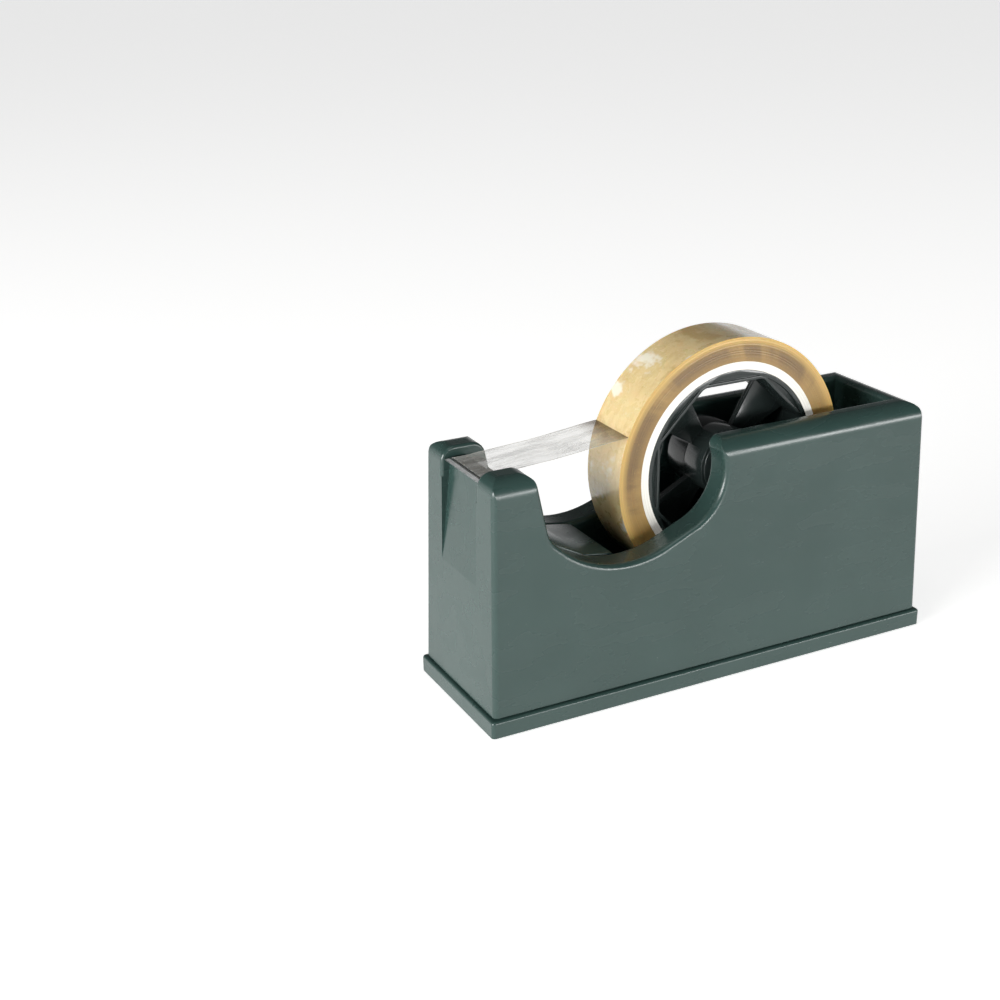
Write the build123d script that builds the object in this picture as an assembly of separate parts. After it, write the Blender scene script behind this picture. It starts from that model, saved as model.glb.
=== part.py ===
from build123d import *
from math import cos, radians, sin, tan
import os

# Desk tape dispenser, heavy type, for tape up to 25 mm wide on small or large cores.
# Frame: millimetres, +Z up, +X from the cutter end to the rear, origin on the table
# under the middle of the base.  The object is symmetric about the XZ plane.

# ---- overall sizes ---------------------------------------------------------
TAPE_WIDTH = 24.0
BASE_LENGTH = 202.0          # flange of the base plate
SIDE_BUILD = 19.75           # tape edge to the side of the flange
FLANGE_HEIGHT = 6.8
FLANGE_MARGIN = 1.5          # step from the flange in to the body wall
FOOT_STANDOUT = 0.8          # feet below the flange
POST_TOP = 100.3             # top of the two cheeks beside the cutter
REAR_TOP = 99.0              # top of the rim round the roll well
DRAFT = 1.4                  # moulding draft of the body, degrees

# ---- body moulding ---------------------------------------------------------
SKIN = 2.6                   # outer wall
WELL_WALL = 2.4              # wall of the roll well
WELL_SIDE_ROOM = 5.0         # tape edge to well wall
WELL_FLOOR_TOP = 27.8
REAR_RIM = 9.4               # rim behind the well, at the top
SIDE_ROUND = 7.0             # long sides into the tops of the cheeks and the rim
EDGE_RADIUS = 2.0            # uprights and saddle edges
MOUTH_RADIUS = 1.8           # edge all round the mouth of the well
CHEEK_INNER_RADIUS = 1.2
FOOT_CHAMFER = 0.6           # bottom edge, leaves a fine groove above the flange
POST_TOP_LENGTH = 17.5       # cheek top, front corner to rear corner
POST_FRONT_RADIUS = 5.5
POST_REAR_RADIUS = 6.0
REAR_CORNER_RADIUS = 7.0
CUSP_RADIUS = 3.7            # where the saddle meets the rear rim

# Saddle outline corners, as distance back from the post's rear top corner and
# height above the table; each corner is rounded with its own radius.
SADDLE_FRONT = (5.4, 73.5, 12.0)
SADDLE_BOTTOM = (31.5, 51.2, 43.0)
SADDLE_REAR = (86.1, 74.9, 22.0)
SADDLE_CUSP_RUN = 78.5

# ---- cutter post -----------------------------------------------------------
CHANNEL_SIDE_ROOM = 2.7      # tape edge to cheek
CHANNEL_BEHIND = 10.0        # the channel runs out over the saddle
CHANNEL_FLOOR = 89.0
FRONT_WALL_TOP = 94.6        # front wall of the post, up to just under the blade
FRONT_WALL = 1.8
RECESS_FOOT = 56.0           # the tapered front recess starts here, flush
RECESS_DEPTH = 4.0           # and is this deep at the top

# ---- roll, core and wheel --------------------------------------------------
AXLE_RUN = 94.93             # back of the post's rear top corner
ROLL_TO_FLOOR = 3.4          # full roll to the floor of the well
CORE_BORE_RADIUS = 38.1      # 76 mm card core
CORE_WALL = 3.25
ROLL_RADIUS = 51.1
WOUND_GAP = 0.03             # between wheel, card core and wound tape
RING_WALL = 1.8
OCTAGON_TO_RING = 0.55       # octagon corner to the inside of the ring
OCTAGON_CORNER = 4.0
OCTAGON_WALL = 1.2
FACE_PLATE = 2.0             # face between the ring and the octagon
FACE_RECESS = 0.8            # the face lies this far inside the edges
WEB_THICKNESS = 1.4          # spoke web of one wheel half
SPOKE_HALF_ANGLE = 16.0
SPOKE_CENTRE = 43.0
PEG_RADIUS = 2.0             # pegs that join the wheel halves
PEG_GAP = 0.1
HUB_RADIUS = 12.3            # carries 25 mm cores by itself
BOSS_WALL = 1.62
HUB_WALL = 1.8
HUB_END = 1.5
HUB_FLANGE_STANDOUT = 0.9
HUB_FLANGE = 1.0
RUNNING_GAP = 0.08           # hub to wheel boss
SPIGOT_RADIUS = 6.0
SPIGOT_WALL = 1.6
SPIGOT_GAP = 0.05
STUB_RADIUS = 4.0
STUB_GAP = 0.2               # stub to its slot
GUIDE_GAP = 0.6              # hub flange to guides
GUIDE_RIB = 2.6              # ribs of the two slots, standing on the well walls
GUIDE_TOP = 92.5
GUIDE_LEAD = 1.6             # widened entry of the slot
SIDE_GAP = 0.5               # stub end to well wall

# ---- ramp between the saddle ledges, measured from the post's rear top corner
RAMP_FRONT = (12.2, 67.3)
RAMP_CREASE = (25.7, 60.1)
RAMP_END = (38.5, 58.0)
RAMP_THICKNESS = 2.2
RAMP_GAP = 0.4               # to the well walls

# ---- cutter ----------------------------------------------------------------
CUTTER_GAP = 0.25            # cutter pieces to the cheeks
CARRIER_TOP = 94.6
CARRIER_LENGTH = 10.6
CARRIER_GAP = 0.2            # carrier to the front wall
HOLLOW_HALF_WIDTH = 8.5      # finger hollow behind the tape rest
HOLLOW_FLOOR = 91.5
BLADE_TIP_TOP = 96.7
BLADE_OVERHANG = 2.6         # teeth ahead of the front wall
BLADE_DEPTH = 6.4
BLADE_THICKNESS = 0.7
BLADE_TILT = 14.0            # teeth point up and forward, degrees
TOOTH_COUNT = 20
TOOTH_DEPTH = 1.1
REST_START = 3.4             # behind the tooth tips
REST_LENGTH = 5.6
REST_THICKNESS = 0.5
RIB_RADIUS = 0.35
RIB_COUNT = 4
SMALL_SCREW_RADIUS = 1.0
SMALL_SCREW_HEAD_RADIUS = 2.0
SMALL_SCREW_HEAD_HEIGHT = 1.3
REST_SCREW_Y = 10.5
REST_SCREW_BACK = 1.75       # from the rest's rear edge, behind the blade
CARRIER_SCREW_Y = 11.6
CARRIER_SCREW_BACK = 2.8     # from the carrier's rear face
STRIP_THICKNESS = 0.25       # thicker than the film, so that it is a solid
STRIP_END_BACK = 2.2         # cut end of the tape, behind the tooth tips
PEEL_ANGLE = 158.0           # where the free tape leaves the roll, from +X
STRIP_TO_ROLL = 0.4
STRIP_TO_REST = 0.15

# ---- base, ballast, screws and feet ----------------------------------------
FLANGE_CORNER_RADIUS = 1.4
FLANGE_EDGE_RADIUS = 1.1
FLOOR_THICKNESS = 2.8
LIP_HEIGHT = 3.4             # lip of the base plate inside the body
LIP_THICKNESS = 1.6
LIP_GAP = 0.3
BALLAST_GAP = 1.2
BALLAST_SIDE_ROOM = 6.55     # to the outside of the body, at the bottom
FRONT_BLOCK_TOP = 62.0
BASE_SCREW_FRONT = 6.2       # from the body's front wall, at the bottom
BASE_SCREW_REAR = 19.5
SCREW_BOSS_BITE = 0.4        # rear bosses run into the well wall
SCREW_BOSS_RADIUS = 3.8
SCREW_BOSS_HEIGHT = 18.0
SCREW_RADIUS = 1.7
SCREW_LENGTH = 14.0
SCREW_HEAD_RADIUS = 3.2
SCREW_HEAD_HEIGHT = 1.6
SCREW_GAP = 0.15
SLAB_SCREW_INSET = 22.0
FRONT_BLOCK_SCREW_Y = 11.0
FOOT_RADIUS = 7.0
FOOT_THICKNESS = 2.0
FOOT_GAP = 0.15
FOOT_END_INSET = 34.0        # foot centre from the end and the side of the flange
FOOT_SIDE_INSET = 10.5

# ---- worked out from the sizes above ---------------------------------------
PLATE_BOTTOM = FOOT_STANDOUT
FLANGE_TOP = PLATE_BOTTOM + FLANGE_HEIGHT
FLOOR_TOP = PLATE_BOTTOM + FLOOR_THICKNESS
HALF_TAPE = TAPE_WIDTH / 2
BASE_WIDTH = TAPE_WIDTH + 2 * SIDE_BUILD
WELL_HALF_WIDTH = HALF_TAPE + WELL_SIDE_ROOM
CHANNEL_HALF_WIDTH = HALF_TAPE + CHANNEL_SIDE_ROOM
AXLE_Z = WELL_FLOOR_TOP + ROLL_TO_FLOOR + ROLL_RADIUS
BODY_HALF_LENGTH = BASE_LENGTH / 2 - FLANGE_MARGIN
BODY_HALF_WIDTH = BASE_WIDTH / 2 - FLANGE_MARGIN
SLOPE = tan(radians(DRAFT))


def front_x(z):
    """X of the drafted front face at height z."""
    return -BODY_HALF_LENGTH + SLOPE * (z - FLANGE_TOP)


def recess_x(z):
    """X of the tapered recess in the front face at height z."""
    return front_x(z) + RECESS_DEPTH * (z - RECESS_FOOT) / (POST_TOP - RECESS_FOOT)


POST_FRONT = front_x(POST_TOP)
POST_REAR = POST_FRONT + POST_TOP_LENGTH
WELL_REAR = -front_x(REAR_TOP) - REAR_RIM
AXLE_X = POST_REAR + AXLE_RUN
WELL_FRONT = POST_REAR + RAMP_FRONT[0]
WELL_UNDERSIDE = WELL_FLOOR_TOP - WELL_WALL
SLOT_HALF_WIDTH = STUB_RADIUS + STUB_GAP
HUB_HALF_LENGTH = HALF_TAPE + HUB_FLANGE
GUIDE_FACE = HUB_HALF_LENGTH + GUIDE_GAP
STUB_END = WELL_HALF_WIDTH - SIDE_GAP
WHEEL_RADIUS = CORE_BORE_RADIUS - WOUND_GAP
OCTAGON_APOTHEM = (WHEEL_RADIUS - RING_WALL - OCTAGON_TO_RING) * cos(radians(22.5))
BOSS_RADIUS = HUB_RADIUS + RUNNING_GAP + BOSS_WALL
PEG_CIRCLE = (BOSS_RADIUS + OCTAGON_APOTHEM) / 2
HUB_FLANGE_RADIUS = HUB_RADIUS + HUB_FLANGE_STANDOUT
FRONT_WALL_REAR = recess_x(FRONT_WALL_TOP) + FRONT_WALL
CARRIER_FRONT = FRONT_WALL_REAR + CARRIER_GAP
CARRIER_REAR = CARRIER_FRONT + CARRIER_LENGTH
BLADE_TIP = recess_x(FRONT_WALL_TOP) - BLADE_OVERHANG
BLADE_REAR = BLADE_TIP + BLADE_DEPTH * cos(radians(BLADE_TILT))
CUTTER_HALF_WIDTH = CHANNEL_HALF_WIDTH - CUTTER_GAP
REST_FRONT = BLADE_TIP + REST_START
REST_REAR = REST_FRONT + REST_LENGTH
CARRIER_SCREW_X = CARRIER_REAR - CARRIER_SCREW_BACK
REST_SCREW_X = REST_REAR - REST_SCREW_BACK
HEAD_SEAT = PLATE_BOTTOM + SCREW_HEAD_HEIGHT + SCREW_GAP
BALLAST_HALF_WIDTH = BODY_HALF_WIDTH - BALLAST_SIDE_ROOM
FRONT_BOSS_X = -BODY_HALF_LENGTH + BASE_SCREW_FRONT
REAR_BOSS_X = BODY_HALF_LENGTH - BASE_SCREW_REAR
BOSS_Y = WELL_HALF_WIDTH + WELL_WALL + SCREW_BOSS_RADIUS - SCREW_BOSS_BITE
FRONT_BLOCK_FRONT = FRONT_BOSS_X + SCREW_BOSS_RADIUS + BALLAST_GAP
FRONT_BLOCK_REAR = WELL_FRONT - WELL_WALL - BALLAST_GAP
SLAB_FRONT = FRONT_BLOCK_REAR + BALLAST_GAP
SLAB_REAR = REAR_BOSS_X - SCREW_BOSS_RADIUS - BALLAST_GAP
SLAB_TOP = WELL_UNDERSIDE - BALLAST_GAP
FOOT_X = BASE_LENGTH / 2 - FOOT_END_INSET
FOOT_Y = BASE_WIDTH / 2 - FOOT_SIDE_INSET


def blade_top(x):
    """Height of the tilted blade's upper face."""
    return BLADE_TIP_TOP - (x - BLADE_TIP) * tan(radians(BLADE_TILT))


def solid_box(x0, x1, y0, y1, z0, z1):
    """Box between two corners."""
    size = (x1 - x0, y1 - y0, z1 - z0)
    return Pos((x0 + x1) / 2, (y0 + y1) / 2, (z0 + z1) / 2) * Box(*size)


def cylinder_y(radius, y0, y1, x=AXLE_X, z=AXLE_Z):
    """Cylinder along Y about the axle line."""
    turned = Rot(90, 0, 0) * Cylinder(radius, y1 - y0)
    return Pos(x, (y0 + y1) / 2, z) * turned


def cylinder_z(radius, z0, z1, x, y):
    """Upright cylinder."""
    return Pos(x, y, (z0 + z1) / 2) * Cylinder(radius, z1 - z0)


def side_prism(face_sketch, half_width):
    """Extrude a sketch drawn in the XZ plane to both sides."""
    return extrude(Plane.XZ * face_sketch, half_width, both=True)


def saddle_point(corner):
    """A saddle corner in the part's own frame."""
    return (POST_REAR + corner[0], corner[1])


def body_outline():
    """The body seen from the side, with all its rounded corners."""
    corners = [
        (front_x(FLANGE_TOP), FLANGE_TOP),
        (POST_FRONT, POST_TOP),
        (POST_REAR, POST_TOP),
        saddle_point(SADDLE_FRONT),
        saddle_point(SADDLE_BOTTOM),
        saddle_point(SADDLE_REAR),
        (POST_REAR + SADDLE_CUSP_RUN, REAR_TOP),
        (-front_x(REAR_TOP), REAR_TOP),
        (-front_x(FLANGE_TOP), FLANGE_TOP),
    ]
    radii = [
        POST_FRONT_RADIUS,
        POST_REAR_RADIUS,
        SADDLE_FRONT[2],
        SADDLE_BOTTOM[2],
        SADDLE_REAR[2],
        CUSP_RADIUS,
        REAR_CORNER_RADIUS,
    ]
    upper = FilletPolyline(*corners, radius=radii)
    return upper, Line(corners[-1], corners[0])


def outline_face(inset=0.0):
    """Side outline as a face, shrunk by inset."""
    upper, bottom = body_outline()
    face = make_face([upper, bottom])
    if inset > 0:
        face = offset(face, -inset, kind=Kind.INTERSECTION)
    return face


def side_block(x0, x1, top, inset):
    """Block with drafted long sides that round over into its top, inset from the outer faces."""
    z0 = FLANGE_TOP - 1
    z1 = top - inset
    half0 = BODY_HALF_WIDTH - inset - SLOPE * (z0 - FLANGE_TOP)
    half1 = BODY_HALF_WIDTH - inset - SLOPE * (z1 - FLANGE_TOP)
    section = make_face(Polyline((-half0, z0), (half0, z0), (half1, z1), (-half1, z1), close=True))
    section = fillet(section.vertices().group_by(Axis.Y)[-1], SIDE_ROUND - inset)
    return Pos(x0, 0, 0) * extrude(Plane.YZ * section, x1 - x0)


def rounded_sides(inset):
    """Cheek block and rear block, which meet under the lowest part of the saddle."""
    middle = saddle_point(SADDLE_BOTTOM)[0]
    reach = BASE_LENGTH
    return side_block(-reach, middle, POST_TOP, inset) + side_block(middle, reach, REAR_TOP, inset)


def is_side_edge(edge):
    """Edges between a long side and the rest of the outline, without the bottom."""
    centre = edge @ 0.5
    low = edge.bounding_box().max.Z < FLANGE_TOP + 0.1
    return abs(centre.Y) > CHANNEL_HALF_WIDTH and not low


def body_outer():
    """Outside of the moulding, as a solid lump with rounded edges."""
    half = BODY_HALF_WIDTH
    top_half = half - SLOPE * (POST_TOP + 5 - FLANGE_TOP)
    section = Polyline(
        (-half, FLANGE_TOP),
        (half, FLANGE_TOP),
        (top_half, POST_TOP + 5),
        (-top_half, POST_TOP + 5),
        close=True,
    )
    drafted = extrude(Plane.YZ * make_face(section), BASE_LENGTH, both=True)
    lump = side_prism(outline_face(), BASE_WIDTH) & drafted
    lump = fillet([e for e in lump.edges() if is_side_edge(e)], EDGE_RADIUS)
    lump = lump & rounded_sides(0)
    bottom = lump.faces().sort_by(Axis.Z)[0]
    return chamfer(bottom.edges(), FOOT_CHAMFER)


def well_block(grow):
    """Space of the roll well, grown by a wall thickness."""
    return solid_box(
        WELL_FRONT - grow,
        WELL_REAR + grow,
        -WELL_HALF_WIDTH - grow,
        WELL_HALF_WIDTH + grow,
        WELL_FLOOR_TOP - grow,
        POST_TOP + 20,
    )


def axle_guides():
    """Two slots for the stub axles, each a pair of ribs on a well wall with a round seat between them."""
    half = SLOT_HALF_WIDTH
    outer = half + GUIDE_RIB
    slot = cylinder_y(half, -WELL_HALF_WIDTH, WELL_HALF_WIDTH)
    slot = slot + solid_box(
        AXLE_X - half, AXLE_X + half, -WELL_HALF_WIDTH, WELL_HALF_WIDTH, AXLE_Z, GUIDE_TOP + 1
    )
    wide = half + GUIDE_LEAD
    entry = Polyline(
        (AXLE_X - half, GUIDE_TOP - GUIDE_LEAD),
        (AXLE_X + half, GUIDE_TOP - GUIDE_LEAD),
        (AXLE_X + wide, GUIDE_TOP),
        (AXLE_X - wide, GUIDE_TOP),
        close=True,
    )
    slot = slot + side_prism(make_face(entry), WELL_HALF_WIDTH)
    guides = None
    for y0, y1 in ((GUIDE_FACE, WELL_HALF_WIDTH + 1), (-WELL_HALF_WIDTH - 1, -GUIDE_FACE)):
        block = solid_box(AXLE_X - outer, AXLE_X + outer, y0, y1, WELL_FLOOR_TOP - 1, GUIDE_TOP)
        block = block - slot
        guides = block if guides is None else guides + block
    return guides


def channel_space(grow):
    """Open channel between the cheeks, above its floor and behind and over the front wall."""
    half = CHANNEL_HALF_WIDTH + grow
    x0 = FRONT_WALL_REAR - grow
    x1 = POST_REAR + CHANNEL_BEHIND
    top = POST_TOP + 20
    space = solid_box(x0, x1, -half, half, CHANNEL_FLOOR - grow, top)
    return space + solid_box(front_x(0) - 10, x1, -half, half, FRONT_WALL_TOP - grow, top)


def front_recess(grow):
    """Tapered recess in the front face, deepest at the top."""
    top = POST_TOP + 2
    foot_x = front_x(RECESS_FOOT)
    section = Polyline(
        (foot_x + grow, RECESS_FOOT),
        (recess_x(top) + grow, top),
        (front_x(0) - 10, top),
        (front_x(0) - 10, RECESS_FOOT),
        close=True,
    )
    return side_prism(make_face(section), CHANNEL_HALF_WIDTH + grow)


def screw_places():
    """Plan positions of the four base screws."""
    return [(x, y) for x in (FRONT_BOSS_X, REAR_BOSS_X) for y in (-BOSS_Y, BOSS_Y)]


def body_cavity():
    """Hollow inside the moulding, open at the bottom."""
    inner = side_prism(outline_face(SKIN), BASE_WIDTH)
    inner = inner + solid_box(
        -BODY_HALF_LENGTH + SKIN + SLOPE * SKIN,
        BODY_HALF_LENGTH - SKIN - SLOPE * SKIN,
        -BASE_WIDTH,
        BASE_WIDTH,
        FLANGE_TOP - 1,
        FLANGE_TOP + SKIN + 1,
    )
    inner = inner & rounded_sides(SKIN)
    inner = inner - well_block(WELL_WALL)
    inner = inner - channel_space(SKIN) - front_recess(SKIN)
    for x, y in screw_places():
        inner = inner - cylinder_z(SCREW_BOSS_RADIUS, FLANGE_TOP, FLANGE_TOP + SCREW_BOSS_HEIGHT, x, y)
    return inner


def body_shell():
    """One moulding: outer skin, rim, saddle ledges, roll well and axle guides."""
    half = CHANNEL_HALF_WIDTH
    ahead = front_x(0) - 10
    lump = body_outer() - solid_box(ahead, POST_REAR + CHANNEL_BEHIND, -half, half, CHANNEL_FLOOR, POST_TOP + 20)
    lump = fillet([e for e in lump.edges() if is_cheek_edge(e)], CHEEK_INNER_RADIUS)
    lump = lump + solid_box(front_x(0), FRONT_WALL_REAR, -half, half, CHANNEL_FLOOR - 1, FRONT_WALL_TOP)
    lump = lump - front_recess(0) - well_block(0)
    lump = fillet([e for e in lump.edges() if is_mouth_edge(e)], MOUTH_RADIUS)
    shell = lump - body_cavity() + axle_guides()
    for x, y in screw_places():
        shell = shell - cylinder_z(SCREW_RADIUS, FLANGE_TOP - 1, FLANGE_TOP + SCREW_BOSS_HEIGHT - 2, x, y)
    head_seat = CHANNEL_FLOOR - SKIN
    for y in (-CARRIER_SCREW_Y, CARRIER_SCREW_Y):
        radius = SMALL_SCREW_RADIUS + SCREW_GAP
        shell = shell - cylinder_z(radius, head_seat - 1, CHANNEL_FLOOR + 1, CARRIER_SCREW_X, y)
    return shell


def is_cheek_edge(edge):
    """Inner edges of the two cheeks, above the channel floor."""
    box = edge.bounding_box()
    on_wall = abs(abs(box.min.Y) - CHANNEL_HALF_WIDTH) < 0.01 and box.max.Y - box.min.Y < 0.01
    return on_wall and box.max.Z > CHANNEL_FLOOR + 0.01


def is_mouth_edge(edge):
    """Edges round the mouth of the well, on the saddle ledges and on the rim."""
    box = edge.bounding_box()
    widest = max(abs(box.min.Y), abs(box.max.Y))
    upright = box.max.X - box.min.X < 0.01 and box.max.Y - box.min.Y < 0.01
    along = box.min.X > WELL_FRONT - 0.01 and box.max.X < WELL_REAR + 0.01
    return along and widest < WELL_HALF_WIDTH + 0.01 and box.min.Z > WELL_FLOOR_TOP + 1 and not upright


def saddle_ramp():
    """Panel between the ledges, standing on the well floor on two legs."""
    front, crease, end = [(POST_REAR + x, z) for x, z in (RAMP_FRONT, RAMP_CREASE, RAMP_END)]
    front = (front[0] + RAMP_GAP, front[1])
    t = RAMP_THICKNESS
    section = Polyline(
        front,
        crease,
        end,
        (end[0], WELL_FLOOR_TOP),
        (end[0] - t, WELL_FLOOR_TOP),
        (end[0] - t, end[1] - t),
        (crease[0], crease[1] - t),
        (front[0] + t, front[1] - 2 * t),
        (front[0] + t, WELL_FLOOR_TOP),
        (front[0], WELL_FLOOR_TOP),
        close=True,
    )
    return side_prism(make_face(section), WELL_HALF_WIDTH - RAMP_GAP)


def base_plate():
    """Flanged tray under the body, with locating lip, screw pads and foot recesses."""
    height = FLANGE_TOP - PLATE_BOTTOM
    plate = Pos(0, 0, PLATE_BOTTOM + height / 2) * Box(BASE_LENGTH, BASE_WIDTH, height)
    plate = fillet(plate.edges().filter_by(Axis.Z), FLANGE_CORNER_RADIUS)
    plate = fillet(plate.faces().sort_by(Axis.Z)[-1].edges(), FLANGE_EDGE_RADIUS)
    half_x = BODY_HALF_LENGTH - SKIN - LIP_GAP - SLOPE * LIP_HEIGHT
    half_y = BODY_HALF_WIDTH - SKIN - LIP_GAP - SLOPE * LIP_HEIGHT
    plate = plate + solid_box(-half_x, half_x, -half_y, half_y, FLANGE_TOP - 1, FLANGE_TOP + LIP_HEIGHT)
    half_x = half_x - LIP_THICKNESS
    half_y = half_y - LIP_THICKNESS
    plate = plate - solid_box(-half_x, half_x, -half_y, half_y, FLOOR_TOP, FLANGE_TOP + LIP_HEIGHT + 1)
    for x, y in screw_places():
        clear = SCREW_BOSS_RADIUS + LIP_GAP
        plate = plate - cylinder_z(clear, FLANGE_TOP, FLANGE_TOP + LIP_HEIGHT + 1, x, y)
        plate = plate + cylinder_z(clear, FLOOR_TOP - 1, FLANGE_TOP, x, y)
    for x, y in screw_places() + ballast_screw_places():
        plate = plate - cylinder_z(SCREW_RADIUS + SCREW_GAP, PLATE_BOTTOM - 1, FLANGE_TOP + 1, x, y)
        plate = plate - cylinder_z(SCREW_HEAD_RADIUS + SCREW_GAP, PLATE_BOTTOM - 1, HEAD_SEAT, x, y)
    for x, y in foot_places():
        plate = plate - cylinder_z(FOOT_RADIUS + FOOT_GAP, PLATE_BOTTOM - 1, FOOT_THICKNESS, x, y)
    return plate


def ballast_screw_places():
    """Two screws into the front block, two into the slab."""
    block_x = (FRONT_BLOCK_FRONT + FRONT_BLOCK_REAR) / 2
    front = [(block_x, -FRONT_BLOCK_SCREW_Y), (block_x, FRONT_BLOCK_SCREW_Y)]
    return front + [(SLAB_FRONT + SLAB_SCREW_INSET, 0), (SLAB_REAR - SLAB_SCREW_INSET, 0)]


def ballast(x0, x1, top):
    """Cast iron weight standing on the base plate, with tapped holes."""
    block = solid_box(x0, x1, -BALLAST_HALF_WIDTH, BALLAST_HALF_WIDTH, FLOOR_TOP, top)
    block = fillet(block.edges().filter_by(Axis.Z), BALLAST_GAP)
    for x, y in ballast_screw_places():
        if x0 < x < x1:
            block = block - cylinder_z(SCREW_RADIUS, FLOOR_TOP - 1, HEAD_SEAT + SCREW_LENGTH + 1, x, y)
    return block


def pan_screw(x, y, seat, length, radius, head_radius, head_height):
    """Pan head screw driven upwards, with a cross recess under its head."""
    head = cylinder_z(head_radius, seat - head_height, seat, x, y)
    head = chamfer(head.faces().sort_by(Axis.Z)[0].edges(), head_height / 3)
    arm = head_radius * 0.55
    for half_x, half_y in ((arm, arm / 4), (arm / 4, arm)):
        bottom = seat - head_height
        head = head - solid_box(x - half_x, x + half_x, y - half_y, y + half_y, bottom - 1, bottom + head_height / 2)
    return head + cylinder_z(radius, seat - head_height / 4, seat + length, x, y)


def screw_group(places, seat, length, radius, head_radius, head_height):
    """Identical screws as one group of separate solids."""
    return Compound([
        pan_screw(x, y, seat, length, radius, head_radius, head_height).solid() for x, y in places
    ])


def large_screws(places):
    """Screws driven up through the base plate."""
    return screw_group(places, HEAD_SEAT, SCREW_LENGTH, SCREW_RADIUS, SCREW_HEAD_RADIUS, SCREW_HEAD_HEIGHT)


def foot_places():
    """Front left, front right, rear left, rear right."""
    return [(x, y) for x in (-FOOT_X, FOOT_X) for y in (FOOT_Y, -FOOT_Y)]


def foot(x, y):
    """Rubber foot pressed into its recess."""
    disc = cylinder_z(FOOT_RADIUS, 0, FOOT_THICKNESS, x, y)
    return chamfer(disc.faces().sort_by(Axis.Z)[0].edges(), FOOT_STANDOUT / 2)


def blade_carrier():
    """Block between the cheeks: tilted blade seat in front, finger hollow behind."""
    seat = BLADE_THICKNESS / cos(radians(BLADE_TILT))
    section = Polyline(
        (CARRIER_FRONT, CHANNEL_FLOOR),
        (CARRIER_FRONT, blade_top(CARRIER_FRONT) - seat),
        (BLADE_REAR + BLADE_THICKNESS, blade_top(BLADE_REAR + BLADE_THICKNESS) - seat),
        (BLADE_REAR + BLADE_THICKNESS, CARRIER_TOP),
        (CARRIER_REAR, CARRIER_TOP),
        (CARRIER_REAR, CHANNEL_FLOOR),
        close=True,
    )
    block = side_prism(make_face(section), CUTTER_HALF_WIDTH)
    block = block - solid_box(
        REST_REAR,
        CARRIER_REAR + 1,
        -HOLLOW_HALF_WIDTH,
        HOLLOW_HALF_WIDTH,
        HOLLOW_FLOOR,
        CARRIER_TOP + 1,
    )
    for y in (-REST_SCREW_Y, REST_SCREW_Y):
        head_top = CHANNEL_FLOOR + SMALL_SCREW_HEAD_HEIGHT + SCREW_GAP
        head = cylinder_z(SMALL_SCREW_HEAD_RADIUS + SCREW_GAP, CHANNEL_FLOOR - 1, head_top, REST_SCREW_X, y)
        shank = cylinder_z(SMALL_SCREW_RADIUS + SCREW_GAP, CHANNEL_FLOOR, CARRIER_TOP + 5, REST_SCREW_X, y)
        block = block - head - shank
    for y in (-CARRIER_SCREW_Y, CARRIER_SCREW_Y):
        tip = CHANNEL_FLOOR + REST_LENGTH
        block = block - cylinder_z(SMALL_SCREW_RADIUS, CHANNEL_FLOOR - 1, tip, CARRIER_SCREW_X, y)
    return block


def cutter_blade():
    """Tilted steel strip with a row of teeth along its front edge."""
    half = CUTTER_HALF_WIDTH - CUTTER_GAP
    pitch = 2 * half / TOOTH_COUNT
    points = [(BLADE_DEPTH, -half)]
    for i in range(TOOTH_COUNT):
        points = points + [(TOOTH_DEPTH, -half + i * pitch), (0, -half + (i + 0.5) * pitch)]
    points = points + [(TOOTH_DEPTH, half), (BLADE_DEPTH, half)]
    plate = extrude(make_face(Polyline(*points, close=True)), -BLADE_THICKNESS)
    return Pos(BLADE_TIP, 0, BLADE_TIP_TOP) * Rot(0, BLADE_TILT, 0) * plate


def rest_top(x):
    """Height of the tape rest between its ribs."""
    return blade_top(REST_FRONT) + REST_THICKNESS + (REST_FRONT - x) * SLOPE


def tape_rest():
    """Ribbed bar that clamps the blade and holds the end of the tape."""
    section = Polyline(
        (REST_FRONT, blade_top(REST_FRONT)),
        (REST_FRONT, rest_top(REST_FRONT)),
        (REST_REAR, rest_top(REST_REAR)),
        (REST_REAR, CARRIER_TOP),
        (BLADE_REAR + BLADE_THICKNESS, CARRIER_TOP),
        (BLADE_REAR + BLADE_THICKNESS, blade_top(BLADE_REAR + BLADE_THICKNESS)),
        close=True,
    )
    bar = side_prism(make_face(section), CUTTER_HALF_WIDTH)
    step = (REST_LENGTH - 2 * RIB_RADIUS) / (RIB_COUNT - 1)
    for i in range(RIB_COUNT):
        x = REST_FRONT + RIB_RADIUS + i * step
        bar = bar + cylinder_y(RIB_RADIUS, -CUTTER_HALF_WIDTH, CUTTER_HALF_WIDTH, x, rest_top(x))
    for y in (-REST_SCREW_Y, REST_SCREW_Y):
        bar = bar - cylinder_z(SMALL_SCREW_RADIUS, CHANNEL_FLOOR, rest_screw_tip(), REST_SCREW_X, y)
    return bar


def rest_screw_tip():
    """The rest screws end just under the top of the tape rest."""
    return rest_top(REST_SCREW_X) - REST_THICKNESS / 2


def rest_screws():
    """Two small screws that pull the tape rest down on the blade."""
    seat = CHANNEL_FLOOR + SMALL_SCREW_HEAD_HEIGHT + SCREW_GAP
    places = [(REST_SCREW_X, -REST_SCREW_Y), (REST_SCREW_X, REST_SCREW_Y)]
    length = rest_screw_tip() - seat
    return screw_group(
        places, seat, length, SMALL_SCREW_RADIUS, SMALL_SCREW_HEAD_RADIUS, SMALL_SCREW_HEAD_HEIGHT
    )


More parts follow.
